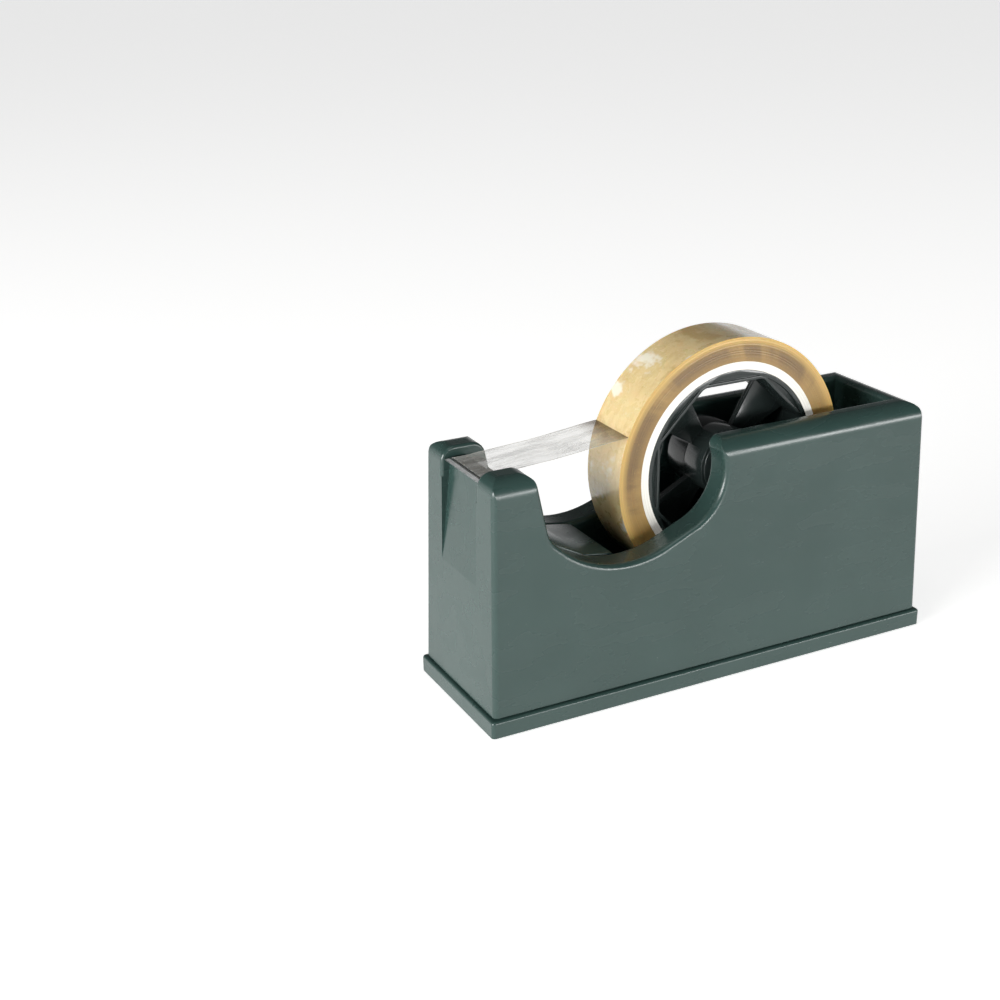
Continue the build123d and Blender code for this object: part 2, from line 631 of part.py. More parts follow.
def carrier_screws():
    """Two small screws from inside the post into the blade carrier."""
    seat = CHANNEL_FLOOR - SKIN
    places = [(CARRIER_SCREW_X, -CARRIER_SCREW_Y), (CARRIER_SCREW_X, CARRIER_SCREW_Y)]
    length = SKIN + REST_LENGTH
    return screw_group(
        places, seat, length, SMALL_SCREW_RADIUS, SMALL_SCREW_HEAD_RADIUS, SMALL_SCREW_HEAD_HEIGHT
    )


def octagon_prism(apothem, y0, y1):
    """Octagon with rounded corners along the axle, one flat on top."""
    radius = apothem / cos(radians(22.5))
    sketch = RegularPolygon(radius, 8, rotation=22.5)
    sketch = fillet(sketch.vertices(), OCTAGON_CORNER)
    prism = extrude(Plane.XZ * sketch, y1 - y0)
    return Pos(AXLE_X, y1, AXLE_Z) * prism


def spoke_web(y0, y1):
    """Four wedge-shaped spokes between the boss and the octagonal wall."""
    disc = octagon_prism(OCTAGON_APOTHEM + OCTAGON_WALL / 2, y0, y1)
    wedge = None
    for i in range(4):
        middle = SPOKE_CENTRE + 90 * i
        reach = 2 * OCTAGON_APOTHEM
        sides = [radians(middle + side * SPOKE_HALF_ANGLE) for side in (-1, 1)]
        points = [(AXLE_X + reach * cos(a), AXLE_Z + reach * sin(a)) for a in sides]
        face = make_face(Polyline((AXLE_X, AXLE_Z), *points, close=True))
        sector = side_prism(face, HALF_TAPE)
        wedge = sector if wedge is None else wedge + sector
    return disc & wedge


def peg_places():
    """Peg centres on the spokes."""
    angles = [radians(SPOKE_CENTRE + 90 * i) for i in range(4)]
    return [(AXLE_X + PEG_CIRCLE * cos(a), AXLE_Z + PEG_CIRCLE * sin(a)) for a in angles]


def wheel_half(left):
    """One half of the large-core wheel: ring, octagonal wall, face, spokes and boss."""
    face_outer = HALF_TAPE - FACE_RECESS
    ring = cylinder_y(WHEEL_RADIUS, 0, HALF_TAPE) - cylinder_y(WHEEL_RADIUS - RING_WALL, -1, HALF_TAPE + 1)
    wall = octagon_prism(OCTAGON_APOTHEM + OCTAGON_WALL, 0, HALF_TAPE)
    face = cylinder_y(WHEEL_RADIUS - RING_WALL / 2, face_outer - FACE_PLATE, face_outer)
    half = ring + (wall & cylinder_y(WHEEL_RADIUS, 0, HALF_TAPE)) + face
    half = half - octagon_prism(OCTAGON_APOTHEM, -1, HALF_TAPE + 1)
    half = half + spoke_web(0, WEB_THICKNESS) + cylinder_y(BOSS_RADIUS, 0, HALF_TAPE)
    half = half - cylinder_y(HUB_RADIUS + RUNNING_GAP, -1, HALF_TAPE + 1)
    for x, z in peg_places():
        if left:
            half = half - cylinder_y(PEG_RADIUS + PEG_GAP, -1, WEB_THICKNESS + 1, x, z)
        else:
            half = half + cylinder_y(PEG_RADIUS, -WEB_THICKNESS, WEB_THICKNESS / 2, x, z)
    if left:
        return half
    return mirror(half, about=Plane.XZ)


def hub_half(left):
    """One half of the small-core hub: cup, flange and stub axle."""
    hub = cylinder_y(HUB_RADIUS, 0, HUB_HALF_LENGTH)
    hub = hub - cylinder_y(HUB_RADIUS - HUB_WALL, -1, HALF_TAPE - HUB_END)
    hub = hub + cylinder_y(HUB_FLANGE_RADIUS, HALF_TAPE + RUNNING_GAP, HUB_HALF_LENGTH)
    hub = hub + cylinder_y(STUB_RADIUS, HALF_TAPE, STUB_END)
    if left:
        hub = hub + cylinder_y(SPIGOT_RADIUS, -HALF_TAPE + 2 * HUB_END, HALF_TAPE)
        hub = hub - cylinder_y(SPIGOT_RADIUS - SPIGOT_WALL, -HALF_TAPE, HALF_TAPE - HUB_END)
        return hub
    hub = hub + cylinder_y(SPIGOT_RADIUS + SPIGOT_GAP + SPIGOT_WALL, 0, HALF_TAPE)
    hub = hub - cylinder_y(SPIGOT_RADIUS + SPIGOT_GAP, -1, HALF_TAPE - HUB_END)
    return mirror(hub, about=Plane.XZ)


def ring_piece(inner, outer):
    """Ring as wide as the tape."""
    return cylinder_y(outer, -HALF_TAPE, HALF_TAPE) - cylinder_y(inner, -HALF_TAPE - 1, HALF_TAPE + 1)


def tape_strip():
    """Free tape from the roll, over the ribs of the tape rest, to its cut end."""
    peel = radians(PEEL_ANGLE)
    reach = ROLL_RADIUS + STRIP_TO_ROLL
    rib_top = rest_top(REST_FRONT) + RIB_RADIUS + STRIP_TO_REST
    line = [
        (BLADE_TIP + STRIP_END_BACK, rib_top),
        (REST_REAR, rib_top),
        (AXLE_X + reach * cos(peel), AXLE_Z + reach * sin(peel)),
    ]
    upper = [(x, z + STRIP_THICKNESS) for x, z in reversed(line)]
    return side_prism(make_face(Polyline(*line, *upper, close=True)), HALF_TAPE)


def all_parts():
    """Every sub-part by its node name."""
    core_outer = CORE_BORE_RADIUS + CORE_WALL
    parts = {
        "body_shell": body_shell(),
        "saddle_ramp": saddle_ramp(),
        "base_plate": base_plate(),
        "ballast_front_block": ballast(FRONT_BLOCK_FRONT, FRONT_BLOCK_REAR, FRONT_BLOCK_TOP),
        "ballast_slab": ballast(SLAB_FRONT, SLAB_REAR, SLAB_TOP),
        "ballast_screws": large_screws(ballast_screw_places()),
        "base_screws": large_screws(screw_places()),
        "blade_carrier": blade_carrier(),
        "cutter_blade": cutter_blade(),
        "tape_rest": tape_rest(),
        "rest_screws": rest_screws(),
        "carrier_screws": carrier_screws(),
        "wheel_half_left": wheel_half(True),
        "wheel_half_right": wheel_half(False),
        "hub_half_left": hub_half(True),
        "hub_half_right": hub_half(False),
        "tape_core": ring_piece(CORE_BORE_RADIUS, core_outer),
        "tape_roll": ring_piece(core_outer + WOUND_GAP, ROLL_RADIUS),
        "tape_strip": tape_strip(),
    }
    names = ("foot_front_left", "foot_front_right", "foot_rear_left", "foot_rear_right")
    for name, (x, y) in zip(names, foot_places()):
        parts[name] = foot(x, y)
    return parts


os.makedirs("parts", exist_ok=True)
for node, solid in all_parts().items():
    export_step(solid, f"parts/{node}.step")
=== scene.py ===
from math import cos, pi, radians, sin

import bmesh
import bpy
from mathutils import Matrix, Vector, noise


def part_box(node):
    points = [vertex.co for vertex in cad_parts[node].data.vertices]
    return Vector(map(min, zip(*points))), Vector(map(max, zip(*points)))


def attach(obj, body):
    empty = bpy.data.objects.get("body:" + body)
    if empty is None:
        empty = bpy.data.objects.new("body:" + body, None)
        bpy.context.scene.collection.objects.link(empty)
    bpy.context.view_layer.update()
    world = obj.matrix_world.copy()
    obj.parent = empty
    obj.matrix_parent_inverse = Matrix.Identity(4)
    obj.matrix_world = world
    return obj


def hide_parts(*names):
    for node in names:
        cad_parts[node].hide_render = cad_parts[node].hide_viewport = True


# Looks of a weighted desk tape dispenser: moulded shell, large-core wheel, a roll of
# clear tape and its cutter.  Metres, +Z up, +X from the cutter end to the rear.

MM = 0.001

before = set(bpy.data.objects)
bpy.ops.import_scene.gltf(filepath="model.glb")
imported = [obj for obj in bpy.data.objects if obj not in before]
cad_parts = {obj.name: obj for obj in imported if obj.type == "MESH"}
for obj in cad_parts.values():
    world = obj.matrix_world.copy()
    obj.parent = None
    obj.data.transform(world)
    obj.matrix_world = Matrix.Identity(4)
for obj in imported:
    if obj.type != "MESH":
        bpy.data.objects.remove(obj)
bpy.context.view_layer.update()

# ---- places and sizes read from the frame ------------------------------------
roll_low, roll_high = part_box("tape_roll")
core_low, core_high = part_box("tape_core")
wheel_low, wheel_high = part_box("wheel_half_left")
strip_low, strip_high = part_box("tape_strip")
blade_low, blade_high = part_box("cutter_blade")
rest_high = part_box("tape_rest")[1]
AXLE = (roll_low + roll_high) / 2
HALF_TAPE = (roll_high.y - roll_low.y) / 2
ROLL_RADIUS = (roll_high.z - roll_low.z) / 2
CORE_RADIUS = (core_high.z - core_low.z) / 2
BORE_RADIUS = (wheel_high.z - wheel_low.z) / 2 + 0.03 * MM

# ---- sizes of the detail that is added here ------------------------------------
WOUND_LAYER = 0.42 * MM          # visible bands of wound film on the roll's sides
LAYER_WANDER = 0.09 * MM         # how far a band lies in from the roll's edge plane
TREAD_WANDER = 0.07 * MM         # soft dents in the outermost turns
PLY = 0.54 * MM                  # card plies of the core
FILM_THICKNESS = 0.06 * MM
FILM_CUP = 0.22 * MM             # the free film is slightly hollow across its width
PEEL_ANGLE = radians(158.0)      # where the film leaves the roll
TOOTH_COUNT = 20
TOOTH_DEPTH = 1.1 * MM
TOOTH_GRIND = 1.5 * MM           # length of the ground bevel behind each tooth
BLADE_TILT = radians(14.0)
BLADE_THICKNESS = 0.7 * MM
ROUND_STEPS = 256                # segments round the roll and the core
FILM_STEPS = 90                  # rows of faces along the free film
FILM_TEETH = 17                  # teeth that the film is cut over
FILM_SAG = 0.6 * MM
FILM_RIPPLE = 0.10 * MM
WELD = 0.002 * MM                # vertices nearer than this are one
SEED = 7

# ---- sizes of the patterns on the materials ---------------------------------------
SINK_MARK = 38 * MM
FLOW_MARK = 9 * MM
DUST_SPACING = 5.5 * MM
RING_GROUP = 0.5 * MM            # turns that show as one ring on the roll's side
# patches on the tread: amber tone, and white painted glints
AMBER_AND_GLINT_PATCH = 15 * MM
GLUE_STREAK = 6 * MM
PULL_STREAK = 5 * MM             # streaks along the free film
PAINTED_SHADE_REACH = 12 * MM            # film next to the roll painted amber-brown: painted shade of the tread seen through it
NOISE_LOW, NOISE_HIGH = 0.3, 0.7
WOUND_FILM = {"IOR": 1.49, "Subsurface Weight": 0.2, "Subsurface Scale": 1.2 * MM}


# ---- colours and nodes -----------------------------------------------------------
def linear(code):
    """sRGB hex code as linear RGBA."""
    parts = [int(code[i:i + 2], 16) / 255 for i in (0, 2, 4)]
    shade = [c / 12.92 if c <= 0.04045 else ((c + 0.055) / 1.055) ** 2.4 for c in parts]
    return (*shade, 1.0)


def add(tree, kind, settings=None, inputs=None):
    """Adds one node with its settings; inputs are plain values or sockets to link from."""
    made = tree.nodes.new(kind)
    for name, value in (settings or {}).items():
        setattr(made, name, value)
    for key, value in (inputs or {}).items():
        if isinstance(value, bpy.types.NodeSocket):
            tree.links.new(value, made.inputs[key])
        else:
            made.inputs[key].default_value = value
    return made


def start_material(name, shader_values):
    """New material; gives it, its tree, its Principled shader and Object coordinates."""
    made = bpy.data.materials.new(name)
    made.use_nodes = True
    tree = made.node_tree
    tree.nodes.clear()
    shader = add(tree, "ShaderNodeBsdfPrincipled", inputs=shader_values)
    add(tree, "ShaderNodeOutputMaterial", inputs={"Surface": shader.outputs[0]})
    place = add(tree, "ShaderNodeTexCoord").outputs["Object"]
    return made, tree, shader, place


def ramped(tree, value, low, high, out_low, out_high):
    """A value mapped from one range to another, with soft ends."""
    made = add(
        tree,
        "ShaderNodeMapRange",
        {"interpolation_type": "SMOOTHSTEP"},
        {0: value, 1: low, 2: high, 3: out_low, 4: out_high},
    )
    return made.outputs[0]


def spread(tree, value, out_low, out_high):
    """A noise mapped to a range, from where most of its values lie."""
    return ramped(tree, value, NOISE_LOW, NOISE_HIGH, out_low, out_high)


def mixed(tree, factor, first, second):
    """Two colours mixed by a factor."""
    made = add(tree, "ShaderNodeMix", {"data_type": "RGBA"}, {0: factor, 6: first, 7: second})
    return made.outputs[2]


def noisy(tree, place, size, detail=3.0, stretch=(1, 1, 1), roughness=0.5):
    """Noise whose grains are about size metres across, stretched along an axis."""
    scaled = add(
        tree,
        "ShaderNodeMapping",
        inputs={0: place, 3: tuple(1 / (size * s) for s in stretch)},
    ).outputs[0]
    made = add(
        tree,
        "ShaderNodeTexNoise",
        inputs={"Vector": scaled, "Scale": 1.0, "Detail": detail, "Roughness": roughness},
    )
    return made.outputs[0]


def surfaced(tree, shader, tone, sheen, height, depth):
    """Gives the shader its colour, its roughness and a bump of a depth in metres."""
    bump = add(
        tree, "ShaderNodeBump", inputs={"Height": height, "Distance": depth, "Strength": 1.0}
    )
    links = {"Base Color": tone, "Roughness": sheen, "Normal": bump.outputs[0]}
    for name, socket in links.items():
        tree.links.new(socket, shader.inputs[name])


def moulded_abs(name, shade, pale_shade, roughness):
    """ABS from a polished mould: satin sheen, flow marks, faint sink marks, a little dust."""
    made, tree, shader, place = start_material(name, {"IOR": 1.53})
    clouds = noisy(tree, place, SINK_MARK, 2.0)
    flow = noisy(tree, place, FLOW_MARK, 3.0, (2.6, 1, 1))
    tone = mixed(tree, spread(tree, clouds, 0.0, 1.0), shade, pale_shade)
    specks = add(
        tree, "ShaderNodeTexVoronoi", inputs={"Vector": place, "Scale": 1 / DUST_SPACING}
    ).outputs["Distance"]
    tone = mixed(tree, ramped(tree, specks, 0.012, 0.03, 0.35, 0.0), tone, linear("8F9A95"))
    sheen = ramped(tree, flow, 0.25, 0.75, roughness - 0.04, roughness + 0.06)
    surfaced(tree, shader, tone, sheen, clouds, 0.03 * MM)
    return made


def radius_and_angle(tree, place):
    """Distance from the axle line and direction round it, as sockets."""
    centred = add(
        tree, "ShaderNodeVectorMath", {"operation": "SUBTRACT"}, {0: place, 1: tuple(AXLE)}
    ).outputs[0]
    flat = add(
        tree, "ShaderNodeVectorMath", {"operation": "MULTIPLY"}, {0: centred, 1: (1, 0, 1)}
    ).outputs[0]
    radius = add(tree, "ShaderNodeVectorMath", {"operation": "LENGTH"}, {0: flat}).outputs[1]
    turned = add(tree, "ShaderNodeVectorMath", {"operation": "NORMALIZE"}, {0: flat}).outputs[0]
    return radius, turned


def wound_side():
    """Edges of hundreds of turns of film and acrylic glue: amber, with rings and sectors."""
    values = {**WOUND_FILM, "Coat Weight": 0.1, "Coat Roughness": 0.25}
    made, tree, shader, place = start_material("wound_film_side", values)
    radius, direction = radius_and_angle(tree, place)
    rings_at = add(tree, "ShaderNodeCombineXYZ", inputs={0: radius}).outputs[0]
    rings = noisy(tree, rings_at, RING_GROUP, 3.0, roughness=0.7)
    warped = add(
        tree,
        "ShaderNodeVectorMath",
        {"operation": "MULTIPLY_ADD"},
        {0: rings_at, 1: (9, 0, 0), 2: direction},
    ).outputs[0]
    sectors = add(
        tree,
        "ShaderNodeTexNoise",
        inputs={"Vector": warped, "Scale": 1.5, "Detail": 5.0, "Roughness": 0.55},
    ).outputs[0]
    grain = noisy(tree, place, 0.7 * MM, 3.0, roughness=0.7)
    depth = ROLL_RADIUS - CORE_RADIUS
    outer_start, outer_full = ROLL_RADIUS - 0.45 * depth, ROLL_RADIUS - 0.08 * depth
    outer_band = ramped(tree, radius, outer_start, outer_full, 0.0, 1.0)
    inner_band = ramped(tree, radius, CORE_RADIUS, CORE_RADIUS + 0.4 * depth, 0.55, 0.0)
    tone = mixed(tree, ramped(tree, sectors, 0.44, 0.56, 0.0, 1.0), FILM_DARK, FILM_MIDDLE)
    tone = mixed(tree, inner_band, tone, FILM_MIDDLE)
    tone = mixed(tree, outer_band, tone, FILM_LIGHT)
    tone = mixed(tree, ramped(tree, rings, 0.4, 0.75, 0.0, 0.4), tone, FILM_DARK)
    tone = mixed(tree, ramped(tree, grain, 0.5, 0.8, 0.0, 0.3), tone, FILM_LIGHT)
    surfaced(tree, shader, tone, spread(tree, grain, 0.32, 0.5), rings, 0.05 * MM)
    return made


def wound_tread():
    """Outer turn of clear film: glossy, cream and amber, with white patches and specks of painted
    glint.
    """
    values = {**WOUND_FILM, "Coat Weight": 0.7, "Coat Roughness": 0.16}
    made, tree, shader, place = start_material("wound_film_tread", values)
    patches = noisy(tree, place, AMBER_AND_GLINT_PATCH, 4.0, (1, 1.3, 1), 0.6)
    streaks = noisy(tree, place, GLUE_STREAK, 4.0, (1, 0.5, 1.6), 0.65)
    grain = noisy(tree, place, 0.8 * MM, 3.0, roughness=0.7)
    tone = mixed(tree, ramped(tree, streaks, 0.4, 0.75, 0.0, 0.4), TREAD_CREAM, TREAD_AMBER)
    tone = mixed(tree, ramped(tree, patches, 0.54, 0.64, 0.0, 0.75), tone, TREAD_AMBER)
    # Painted highlight: the white patches and specks stand in for glints and glare off the tread.
    tone = mixed(tree, ramped(tree, patches, 0.33, 0.42, 0.85, 0.0), tone, TREAD_PAINTED_GLINT)
    tone = mixed(tree, ramped(tree, grain, 0.5, 0.8, 0.0, 0.35), tone, TREAD_PAINTED_GLINT)
    sheen = ramped(tree, patches, 0.4, 0.6, 0.24, 0.38)
    surfaced(tree, shader, tone, sheen, patches, 0.06 * MM)
    return made


def clear_film():
    """Clear polypropylene film with thin glue: bright streaks, painted highlight along its edges,
    and painted amber-brown shade next to the roll.
    """
    values = {"IOR": 1.49, "Coat Weight": 0.6, "Coat Roughness": 0.05}
    made, tree, shader, place = start_material("clear_film", values)
    parts = add(tree, "ShaderNodeSeparateXYZ", inputs={0: place})
    streaks = noisy(tree, place, PULL_STREAK, 3.0, (4.0, 0.8, 1))
    tone = mixed(tree, spread(tree, streaks, 0.0, 1.0), linear("E9E5D8"), linear("F8F7F2"))
    # Painted shade: next to the roll the film is tinted amber-brown and made less clear, standing
    # in for the shaded tread seen through it.
    painted_shade_start = strip_high.x - PAINTED_SHADE_REACH
    from_roll = ramped(tree, parts.outputs[0], painted_shade_start, strip_high.x, 0.0, 1.0)
    tone = mixed(tree, from_roll, tone, linear("7A5F38"))
    side = add(tree, "ShaderNodeMath", {"operation": "ABSOLUTE"}, {0: parts.outputs[1]}).outputs[0]
    # Painted highlight: the film is made more opaque near-white along both edges, standing in for
    # light caught there.
    edge = ramped(tree, side, HALF_TAPE - 0.5 * MM, HALF_TAPE - 0.1 * MM, 0.0, 0.5)
    clear = add(
        tree, "ShaderNodeMath", {"operation": "MULTIPLY_ADD"}, {0: from_roll, 1: 0.25, 2: edge}
    ).outputs[0]
    haze = ramped(tree, streaks, 0.35, 0.75, 0.16, 0.4)
    opacity = add(
        tree, "ShaderNodeMath", {"operation": "ADD", "use_clamp": True}, {0: clear, 1: haze}
    ).outputs[0]
    tree.links.new(opacity, shader.inputs["Alpha"])
    surfaced(tree, shader, tone, spread(tree, streaks, 0.1, 0.25), streaks, 0.03 * MM)
    return made


def wound_card():
    """Grey board wound in plies with a white liner: matt, with ply lines and paper fibre."""
    made, tree, shader, place = start_material("wound_card", {"IOR": 1.5})
    radius, _ = radius_and_angle(tree, place)
    plies_at = add(tree, "ShaderNodeCombineXYZ", inputs={0: radius}).outputs[0]
    plies = noisy(tree, plies_at, PLY, 1.0)
    fibre = noisy(tree, place, 0.5 * MM, 4.0, roughness=0.7)
    tone = mixed(
        tree, ramped(tree, plies, 0.4, 0.65, 0.0, 1.0), linear("E4E1D8"), linear("F3F1EA")
    )
    tone = mixed(tree, ramped(tree, fibre, 0.4, 0.8, 0.0, 0.35), tone, linear("C9C4B6"))
    sheen = ramped(tree, fibre, 0.2, 0.8, 0.7, 0.9)
    surfaced(tree, shader, tone, sheen, fibre, 0.03 * MM)
    return made


def worked_metal(name, grain_size, detail, stretch, shades, sheen, depth):
    """Bare metal whose tone, roughness and height follow the grain left by its working."""
    made, tree, shader, place = start_material(name, {"Metallic": 1.0})
    grain = noisy(tree, place, grain_size, detail, stretch)
    tone = mixed(tree, spread(tree, grain, 0.0, 1.0), linear(shades[0]), linear(shades[1]))
    surfaced(tree, shader, tone, spread(tree, grain, *sheen), grain, depth)
    return made


def ground_steel():
    """Hardened carbon steel strip, ground bright: fine grinding lines run towards the teeth."""
    shades = ("CFD1D2", "ECECEB")
    return worked_metal(
        "ground_steel", 0.22 * MM, 3.0, (14, 1, 14), shades, (0.3, 0.45), 0.004 * MM
    )


def blued_steel():
    """The same strip where it isn't ground: tempered blue-black, slightly oily."""
    shades = ("3A3E42", "5A5E60")
    return worked_metal("blued_steel", 2.5 * MM, 4.0, (1, 1, 1), shades, (0.3, 0.45), 0.004 * MM)


def zinc_plate():
    """Zinc plated steel: pale blue-grey, slightly cloudy, with a soft grain."""
    shades = ("AEB2B4", "D2D3CF")
    return worked_metal("zinc_plate", 1.6 * MM, 4.0, (1, 1, 1), shades, (0.28, 0.46), 0.006 * MM)


def cast_iron():
    """Grey iron as cast in sand: dark, matt and grainy, with rust in the hollows."""
    made, tree, shader, place = start_material("cast_iron", {"IOR": 1.5, "Metallic": 0.35})
    grit = noisy(tree, place, 1.3 * MM, 5.0, roughness=0.65)
    rust = noisy(tree, place, 14 * MM, 3.0)
    tone = mixed(tree, spread(tree, grit, 0.0, 1.0), linear("3B3B3D"), linear("5F5E5E"))
    tone = mixed(tree, ramped(tree, rust, 0.55, 0.72, 0.0, 0.6), tone, linear("6A4A35"))
    surfaced(tree, shader, tone, spread(tree, grit, 0.7, 0.9), grit, 0.22 * MM)
    return made


def foot_rubber():
    """Moulded nitrile rubber: black, matt, dusty where it rests."""
    made, tree, shader, place = start_material("foot_rubber", {"IOR": 1.52, "Sheen Weight": 0.15})
    grain = noisy(tree, place, 0.5 * MM, 3.0)
    dust = noisy(tree, place, 5 * MM, 4.0)
    tone = mixed(tree, ramped(tree, dust, 0.45, 0.75, 0.0, 0.5), linear("1D1E1E"), linear("3F3E3A"))
    surfaced(tree, shader, tone, spread(tree, grain, 0.66, 0.85), grain, 0.02 * MM)
    return made


def studio_paper():
    """Seamless background paper, pale and matt, lit a little from below like a light table."""
    values = {"IOR": 1.45, "Emission Color": linear("F4F4F4"), "Emission Strength": 0.76}
    made, tree, shader, place = start_material("studio_paper", values)
    fibre = noisy(tree, place, 2 * MM, 3.0)
    tone = mixed(tree, spread(tree, fibre, 0.0, 1.0), linear("ECECEA"), linear("F0F0EE"))
    tree.links.new(tone, shader.inputs["Base Color"])
    tree.links.new(spread(tree, fibre, 0.8, 0.9), shader.inputs["Roughness"])
    return made


FILM_LIGHT = linear("C2A05A")
FILM_MIDDLE = linear("9C7D47")
FILM_DARK = linear("705733")
TREAD_CREAM = linear("DCC590")
TREAD_AMBER = linear("BD9C5F")
# Painted highlight: the white of the glints and glare on the tread.
TREAD_PAINTED_GLINT = linear("F2ECDC")
shell_abs = moulded_abs("shell_abs", linear("293E3A"), linear("2D423E"), 0.25)
wheel_abs = moulded_abs("wheel_abs", linear("1C2322"), linear("222928"), 0.2)
film_side = wound_side()
film_tread = wound_tread()
free_film = clear_film()
core_card = wound_card()
blade_steel = ground_steel()
blade_back = blued_steel()
screw_zinc = zinc_plate()
iron = cast_iron()
rubber = foot_rubber()


# ---- mesh helpers ------------------------------------------------------------------
def link_mesh(name, mesh, materials):
    """New object at the origin with these materials."""
    made = bpy.data.objects.new(name, mesh)
    bpy.context.scene.collection.objects.link(made)
    made.data.materials.clear()
    for material in materials:
        made.data.materials.append(material)
    return made


def mesh_from(work, name):
    """Plain mesh made from a bmesh, which is freed."""
    mesh = bpy.data.meshes.new(name)
    work.to_mesh(mesh)
    work.free()
    return mesh


def smooth(mesh, sharp_angle=35.0):
    """Smooth shading with creases kept sharp."""
    mesh.polygons.foreach_set("use_smooth", [True] * len(mesh.polygons))
    mesh.set_sharp_from_angle(angle=radians(sharp_angle))


def finish_piece(made, body, replaced):
    """Puts a piece on its body in place of its CAD nodes."""
    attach(made, body)
    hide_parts(*replaced)
    return made


def baked(made):
    """The object with its modifiers turned into a plain mesh."""
    graph = bpy.context.evaluated_depsgraph_get()
    mesh = bpy.data.meshes.new_from_object(made.evaluated_get(graph), depsgraph=graph)
    made.modifiers.clear()
    made.data = mesh
    return made


def softened(node, name, width, material, body):
    """Copy of a CAD node with its moulded edges rounded to a small radius."""
    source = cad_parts[node]
    work = bmesh.new()
    work.from_mesh(source.data)
    bmesh.ops.remove_doubles(work, verts=work.verts, dist=WELD)
    bmesh.ops.dissolve_limit(
        work, angle_limit=radians(0.6), verts=work.verts, edges=work.edges, delimit={"NORMAL"}
    )
    mesh = mesh_from(work, name)
    made = link_mesh(name, mesh, [material])
    edges = made.modifiers.new("edges", "BEVEL")
    edges.width = width
    edges.segments = 2
    edges.limit_method = "ANGLE"
    edges.angle_limit = radians(40)
    edges.miter_outer = "MITER_ARC"
    baked(made)
    smooth(made.data)
    return finish_piece(made, body, [node])


def lathe(name, profile, steps, centre, axis, wander=None):
    """Turns a closed profile of (radius, height) points about an axis through centre."""
    side, up = Vector((0, 0, 1)), Vector((0, 1, 0))
    if axis == "Z":
        side, up = up, side
    work = bmesh.new()
    rings = []
    for i in range(steps):
        turn = 2 * pi * i / steps
        out = Vector((1, 0, 0)) * cos(turn) + side * sin(turn)
        ring = []
        for radius, height in profile:
            if wander is not None:
                radius, height = wander(turn, radius, height)
            ring.append(work.verts.new(centre + out * radius + up * height))
        rings.append(ring)
    count = len(profile)
    for i in range(steps):
        this, after = rings[i], rings[(i + 1) % steps]
        for j in range(count):
            k = (j + 1) % count
            work.faces.new((this[j], this[k], after[k], after[j]))
    bmesh.ops.remove_doubles(work, verts=work.verts, dist=0.0005 * MM)
    bmesh.ops.dissolve_degenerate(work, edges=work.edges, dist=0.0005 * MM)
    bmesh.ops.recalc_face_normals(work, faces=work.faces)
    return mesh_from(work, name)


# ---- the roll: wound film, card core and the free film ------------------------------
def layered_edge(inner, outer, step, wander, seed):
    """Profile points of one side of a wound ring, inner to outer, with bands set in a little."""
    count = max(2, round((outer - inner) / step))
    points = []
    for i in range(count):
        radius = inner + (outer - inner) * i / count
        inset = wander * (0.5 + 0.5 * noise.noise(Vector((i * 0.83, seed, 0.0))))
        points.append((radius, inset))
        points.append((radius + 0.8 * (outer - inner) / count, inset))
    points.append((outer, 0.25 * wander))
    return points


def wound_ring(name, inner, outer, step, wander, seed, across, tread_wander):
    """Ring of turns wound on each other, as wide as the tape."""
    near = [(r, inset - HALF_TAPE) for r, inset in layered_edge(inner, outer, step, wander, seed)]
    layers = layered_edge(inner, outer, step, wander, seed + 5)
    far = [(r, HALF_TAPE - inset) for r, inset in layers]
    tread = [(outer, HALF_TAPE * (2 * i / across - 1)) for i in range(1, across)]
    bore = [(inner, -y) for r, y in tread]
    profile = near + tread + far[::-1] + bore

    def dented(turn, radius, height):
        spot = Vector((2.2 * cos(turn), 2.2 * sin(turn), height / (9 * MM) + seed))
        share = (radius - inner) / (outer - inner)
        return radius - tread_wander * share * (0.5 + 0.5 * noise.noise(spot)), height

    return lathe(name, profile, ROUND_STEPS, AXLE, "Y", dented)


def tape_roll():
    """About sixty metres of clear tape."""
    inner = CORE_RADIUS + 0.03 * MM
    mesh = wound_ring(
        "wound_tape", inner, ROLL_RADIUS, WOUND_LAYER, LAYER_WANDER, SEED, 12, TREAD_WANDER
    )
    made = link_mesh("wound_tape", mesh, [film_side, film_tread])
    smooth(mesh, 30)
    for face in mesh.polygons:
        face.material_index = 0 if abs(face.normal.y) > 0.7 else 1
    return finish_piece(made, "wheel", ["tape_roll"])


def tape_core():
    """Card tube inside the roll."""
    mesh = wound_ring("card_core", BORE_RADIUS, CORE_RADIUS, PLY, 0.08 * MM, SEED + 20, 2, 0.0)
    made = link_mesh("card_core", mesh, [core_card])
    smooth(mesh, 30)
    return finish_piece(made, "wheel", ["tape_core"])


def film_line(share):
    """Middle of the free film, from the roll at share 0 to its cut end at share 1."""
    reach = ROLL_RADIUS + 0.05 * MM
    leave = AXLE + Vector((reach * cos(PEEL_ANGLE), 0, reach * sin(PEEL_ANGLE)))
    land = Vector((rest_high.x, 0, strip_low.z + FILM_THICKNESS))
    end = Vector((strip_low.x, 0, land.z))
    span, lap = (land - leave).length, (end - land).length
    along = share * (span + lap)
    if along < span:
        part = along / span
        return leave.lerp(land, part) - Vector((0, 0, FILM_SAG * sin(pi * part) ** 2))
    return land.lerp(end, (along - span) / lap)


